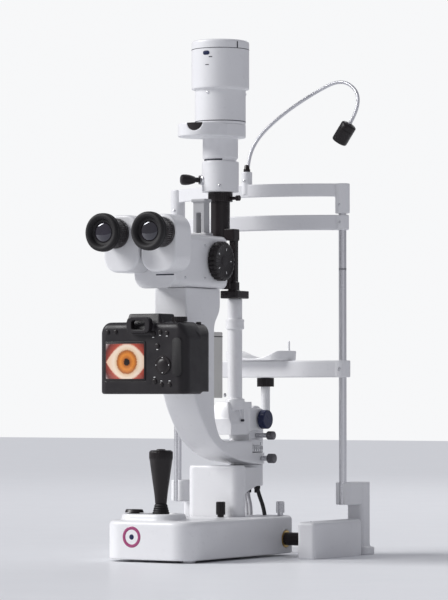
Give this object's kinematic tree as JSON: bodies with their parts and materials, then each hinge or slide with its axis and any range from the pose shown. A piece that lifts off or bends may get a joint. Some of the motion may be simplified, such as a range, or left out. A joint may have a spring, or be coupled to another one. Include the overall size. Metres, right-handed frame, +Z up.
{
  "type": "slit lamp",
  "caption": "Eye examination slit lamp on a cross-slide base, with joystick, binocular microscope, digital camera, lamp tower and headrest.",
  "frame": {"origin": "on the table, straight below the shared swing axis of the microscope and lamp arms, at the centre of the rail bolts", "axes": "+X to the examiner's right, +Y from the examiner to the patient, +Z up"},
  "size_m": [0.3051, 0.385, 0.669],
  "materials": {
    "white_paint": "satin",
    "grey_paint": "satin",
    "black_plastic": "matte",
    "black_anodised": "satin",
    "camera_shell": "fine grain",
    "screen": "gloss",
    "steel": "ground",
    "knurled_steel": "knurled",
    "knob_blue": "satin",
    "optical_glass": "coated",
    "silicone": "smooth",
    "brass": "turned",
    "cable_grey": "matte",
    "gooseneck_grey": "satin",
    "chin_plastic": "satin"
  },
  "bodies": {
    "table_fixed": {"rails": "steel", "rail_covers": "white_paint", "uprights": "steel", "top_bow": "white_paint", "forehead_band": "silicone", "chin_beam": "white_paint", "headrest_foot": "white_paint"},
    "carriage": {"axle_sleeve": "black_anodised"},
    "axle": {"wheel_axle": "knurled_steel"},
    "base": {"base_housing": "white_paint", "base_plate": "steel", "sleeve_bushes": "brass", "power_inlet": "black_plastic", "lift_cables": "cable_grey"},
    "spindle": {"lift_spindle": "steel"},
    "base_lock": {"base_lock_knob": "black_plastic"},
    "lateral_lock": {"lateral_lock_screw": "knurled_steel"},
    "capture_key": {"capture_button": "black_plastic"},
    "gimbal": {"joystick_gimbal": "brass"},
    "joystick": {"joystick_shaft": "black_plastic"},
    "joystick_turn": {"joystick_grip": "black_plastic"},
    "joystick_key": {"joystick_button": "black_plastic"},
    "lift": {"lift_column": "white_paint", "pivot_shaft": "steel", "angle_scale": "white_paint", "lift_posts": "steel"},
    "microscope": {"microscope_arm": "white_paint", "relay_box": "grey_paint", "microscope_body": "white_paint", "microscope_optics": "optical_glass", "tonometer_bracket": "grey_paint", "camera_body": "camera_shell", "camera_screen": "screen"},
    "drum": {"drum_core": "brass", "drum_knobs": "black_plastic"},
    "prism_left": {"prism_housing_left": "white_paint"},
    "prism_right": {"prism_housing_right": "white_paint"},
    "ocular_left": {"eyepiece_left": "black_anodised"},
    "ocular_right": {"eyepiece_right": "black_anodised"},
    "mode_dial": {"camera_dial": "black_plastic"},
    "shutter_key": {"shutter_button": "black_plastic"},
    "microscope_lock": {"microscope_lock_screw": "knurled_steel"},
    "illumination": {"illumination_hub": "grey_paint"},
    "illumination_lock": {"illumination_lock_screw": "knurled_steel"},
    "tower": {"tilt_pin": "steel", "tower_column": "white_paint", "mirror_carrier": "black_anodised", "tower_optics": "optical_glass", "slit_housing": "white_paint", "slit_blades": "steel", "lamp_housing": "white_paint", "lamp_module": "black_anodised"},
    "slit_width": {"slit_width_knob": "knob_blue"},
    "slit_turn": {"slit_lever": "black_anodised"},
    "slit_length": {"slit_knob": "black_plastic"},
    "filter": {"filter_disc": "black_plastic"},
    "chin": {"chin_cup": "chin_plastic"},
    "chin_ring": {"chin_nut": "black_plastic"},
    "fixation": {"gooseneck": "gooseneck_grey", "fixation_head": "black_plastic"}
  },
  "joints": [
    {"name": "base_fore_aft", "type": "slide", "parent": "table_fixed", "child": "carriage", "axis": [0, 1, 0], "range_m": [-0.042, 0.02]},
    {"name": "axle_roll", "type": "hinge", "parent": "carriage", "child": "axle", "pos_m": [0, -0.008, 0.022], "axis": [1, 0, 0], "range_deg": [-160, 160]},
    {"name": "base_sideways", "type": "slide", "parent": "carriage", "child": "base", "axis": [1, 0, 0], "range_m": [-0.048, 0.048]},
    {"name": "base_lock_turn", "type": "hinge", "parent": "base", "child": "base_lock", "pos_m": [0.02, -0.097, 0.06], "axis": [0, 0, 1], "range_deg": [-90, 90]},
    {"name": "lateral_lock_turn", "type": "hinge", "parent": "base", "child": "lateral_lock", "pos_m": [0.052, 0, 0.06], "axis": [0, 0, 1], "range_deg": [-90, 90]},
    {"name": "capture_press", "type": "slide", "parent": "base", "child": "capture_key", "axis": [0, 0, -1], "range_m": [0, 0.001], "stiffness_N_per_m": 800, "springref_m": -0.001},
    {"name": "stick_fore_aft", "type": "hinge", "parent": "base", "child": "gimbal", "pos_m": [0, -0.208, 0.03], "axis": [1, 0, 0], "range_deg": [-10, 10]},
    {"name": "stick_sideways", "type": "hinge", "parent": "gimbal", "child": "joystick", "pos_m": [0, -0.208, 0.03], "axis": [0, 1, 0], "range_deg": [-10, 10]},
    {"name": "stick_turn", "type": "hinge", "parent": "joystick", "child": "joystick_turn", "pos_m": [0, -0.208, 0.1], "axis": [0, 0, 1], "range_deg": [-455, 455]},
    {"name": "stick_press", "type": "slide", "parent": "joystick_turn", "child": "joystick_key", "axis": [0, 0, -1], "range_m": [0, 0.0015], "stiffness_N_per_m": 800, "springref_m": -0.001},
    {"name": "lift_travel", "type": "slide", "parent": "base", "child": "lift", "axis": [0, 0, 1], "range_m": [-0.015, 0.015], "deforming": ["lift_cables"]},
    {"name": "spindle_turn", "type": "hinge", "parent": "base", "child": "spindle", "pos_m": [0, -0.0725, 0.04], "axis": [0, 0, 1], "range_deg": [-455, 455]},
    {"name": "microscope_swing", "type": "hinge", "parent": "lift", "child": "microscope", "pos_m": [0, 0, 0.126], "axis": [0, 0, 1], "range_deg": [-60, 60]},
    {"name": "illumination_swing", "type": "hinge", "parent": "lift", "child": "illumination", "pos_m": [0, 0, 0.147], "axis": [0, 0, 1], "range_deg": [-60, 60]},
    {"name": "tower_tilt", "type": "hinge", "parent": "illumination", "child": "tower", "pos_m": [0, 0, 0.177], "axis": [1, 0, 0], "range_deg": [0, 3]},
    {"name": "microscope_lock_turn", "type": "hinge", "parent": "microscope", "child": "microscope_lock", "pos_m": [0.03, 0, 0.126], "axis": [1, 0, 0], "range_deg": [-90, 90]},
    {"name": "illumination_lock_turn", "type": "hinge", "parent": "illumination", "child": "illumination_lock", "pos_m": [0.03, 0, 0.156], "axis": [1, 0, 0], "range_deg": [-90, 90]},
    {"name": "slit_width_turn", "type": "hinge", "parent": "tower", "child": "slit_width", "pos_m": [0.028, 0, 0.177], "axis": [1, 0, 0], "range_deg": [0, 180]},
    {"name": "slit_rotation", "type": "hinge", "parent": "tower", "child": "slit_turn", "pos_m": [0, -0.065, 0.466], "axis": [0, 0, 1], "range_deg": [-45, 45]},
    {"name": "slit_length_turn", "type": "hinge", "parent": "tower", "child": "slit_length", "pos_m": [0, -0.065, 0.488], "axis": [-0.7071, -0.7071, 0], "range_deg": [0, 180]},
    {"name": "filter_turn", "type": "hinge", "parent": "tower", "child": "filter", "pos_m": [-0.0105, -0.088, 0.551], "axis": [0, 0, 1], "continuous": true},
    {"name": "magnification_turn", "type": "hinge", "parent": "microscope", "child": "drum", "pos_m": [0, -0.117, 0.38], "axis": [1, 0, 0], "continuous": true},
    {"name": "pupil_distance_right", "type": "hinge", "parent": "microscope", "child": "prism_right", "pos_m": [0.014, -0.24, 0.38], "axis": [0, 1, 0], "range_deg": [-1, 7]},
    {"name": "pupil_distance_left", "type": "hinge", "parent": "microscope", "child": "prism_left", "pos_m": [-0.014, -0.24, 0.38], "axis": [0, 1, 0], "range_deg": [-7, 1]},
    {"name": "diopter_right", "type": "hinge", "parent": "prism_right", "child": "ocular_right", "pos_m": [0.034, -0.28, 0.411], "axis": [0, 1, 0], "range_deg": [-150, 150]},
    {"name": "diopter_left", "type": "hinge", "parent": "prism_left", "child": "ocular_left", "pos_m": [-0.034, -0.28, 0.411], "axis": [0, 1, 0], "range_deg": [-150, 150]},
    {"name": "mode_dial_turn", "type": "hinge", "parent": "microscope", "child": "mode_dial", "pos_m": [0.044, -0.234, 0.303], "axis": [0, 0, 1], "continuous": true},
    {"name": "shutter_press", "type": "slide", "parent": "microscope", "child": "shutter_key", "axis": [0, 0, -1], "range_m": [0, 0.001], "stiffness_N_per_m": 500, "springref_m": -0.001},
    {"name": "chin_height", "type": "slide", "parent": "table_fixed", "child": "chin", "axis": [0, 0, 1], "range_m": [0, 0.045]},
    {"name": "chin_ring_turn", "type": "hinge", "parent": "table_fixed", "child": "chin_ring", "pos_m": [0, 0.05, 0.226], "axis": [0, 0, 1], "range_deg": [-5, 1355]},
    {"name": "gooseneck_swivel", "type": "hinge", "parent": "table_fixed", "child": "fixation", "pos_m": [0.006, -0.008, 0.487], "axis": [0, 0, 1], "range_deg": [-20, 90]}
  ],
  "couplings": [
    {"joint": "axle_roll", "follows": "base_fore_aft", "rad_per_m": -62.5},
    {"joint": "stick_turn", "follows": "lift_travel", "rad_per_m": 523.6},
    {"joint": "spindle_turn", "follows": "lift_travel", "rad_per_m": 523.6},
    {"joint": "pupil_distance_left", "follows": "pupil_distance_right", "ratio": -1},
    {"joint": "chin_ring_turn", "follows": "chin_height", "rad_per_m": 523.6}
  ]
}
